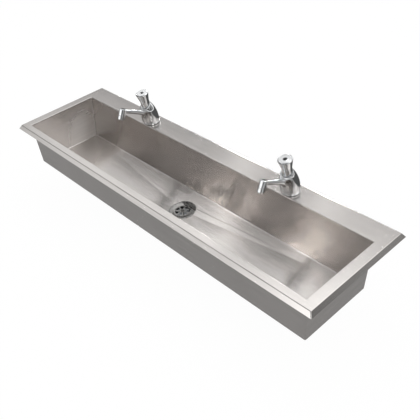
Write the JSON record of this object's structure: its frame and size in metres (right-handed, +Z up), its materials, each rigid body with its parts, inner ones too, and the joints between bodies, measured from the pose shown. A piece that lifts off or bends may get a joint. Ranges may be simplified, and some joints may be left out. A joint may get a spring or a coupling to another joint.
{
  "type": "trough sink",
  "caption": "Long inset stainless steel wash trough with a sloping rim, a creased floor that falls to a slotted waste, and leaning push taps with rising spouts on its back ledge.",
  "frame": {"origin": "centre of the rim's outline, on the plane of the worktop that the rim hangs on", "axes": "+X along the trough to the user's right, +Y from the user to the tap ledge, +Z up"},
  "size_m": [1.196, 0.329, 0.3191],
  "materials": {
    "rim_sheet": "stainless sheet with a fine satin grain",
    "bowl_sheet": "stainless sheet with a fine satin grain, shaded by the bowl",
    "polished_steel": "polished stainless pressing",
    "chrome_plate": "bright chrome plate",
    "brass": "bare machined brass",
    "zinc_plate": "zinc-plated steel",
    "spring_steel": "drawn stainless spring wire",
    "seal": "moulded black rubber",
    "pad": "bitumen-like deadening sheet",
    "foam": "closed-cell sealing strip",
    "nylon": "moulded natural nylon",
    "indicator": "dark moulded plug"
  },
  "bodies": {
    "trough": {"rim_deck": "rim_sheet", "front_wall": "bowl_sheet", "back_wall": "bowl_sheet", "left_end_wall": "bowl_sheet", "right_end_wall": "bowl_sheet", "bowl_floor": "bowl_sheet", "sealing_strip": "foam", "tap_backing_plates": "zinc_plate", "deadening_pads": "pad", "earth_tag": "bowl_sheet", "clamp_studs": "zinc_plate", "clamp_claws": "zinc_plate", "clamp_nuts": "zinc_plate", "waste_grate": "polished_steel", "waste_screw": "polished_steel", "waste_upper_seal": "seal", "waste_lower_seal": "seal", "waste_body": "chrome_plate", "tap_base_gaskets": "seal", "tap_deck_washers": "nylon", "tap_backnuts": "brass", "nozzle_washers": "seal", "flow_straighteners": "nylon", "left_tap_body": "chrome_plate", "left_nozzle": "chrome_plate", "left_cartridge": "brass", "left_cartridge_seal": "seal", "left_inlet_tail": "brass", "left_return_spring": "spring_steel", "right_tap_body": "chrome_plate", "right_nozzle": "chrome_plate", "right_cartridge": "brass", "right_cartridge_seal": "seal", "right_inlet_tail": "brass", "right_return_spring": "spring_steel"},
    "left_push": {"left_push_head": "chrome_plate", "left_indicator": "indicator", "left_head_screw": "zinc_plate", "left_spindle": "brass", "left_piston_seal": "seal"},
    "right_push": {"right_push_head": "chrome_plate", "right_indicator": "indicator", "right_head_screw": "zinc_plate", "right_spindle": "brass", "right_piston_seal": "seal"}
  },
  "joints": [
    {"name": "left_push_slide", "type": "slide", "parent": "trough", "child": "left_push", "axis": [0, 0.165, -0.9863], "range_m": [0, 0.007], "stiffness_N_per_m": 900, "springref_m": -0.012, "deforming": ["left_return_spring"]},
    {"name": "right_push_slide", "type": "slide", "parent": "trough", "child": "right_push", "axis": [0, 0.165, -0.9863], "range_m": [0, 0.007], "stiffness_N_per_m": 900, "springref_m": -0.012, "deforming": ["right_return_spring"]}
  ]
}
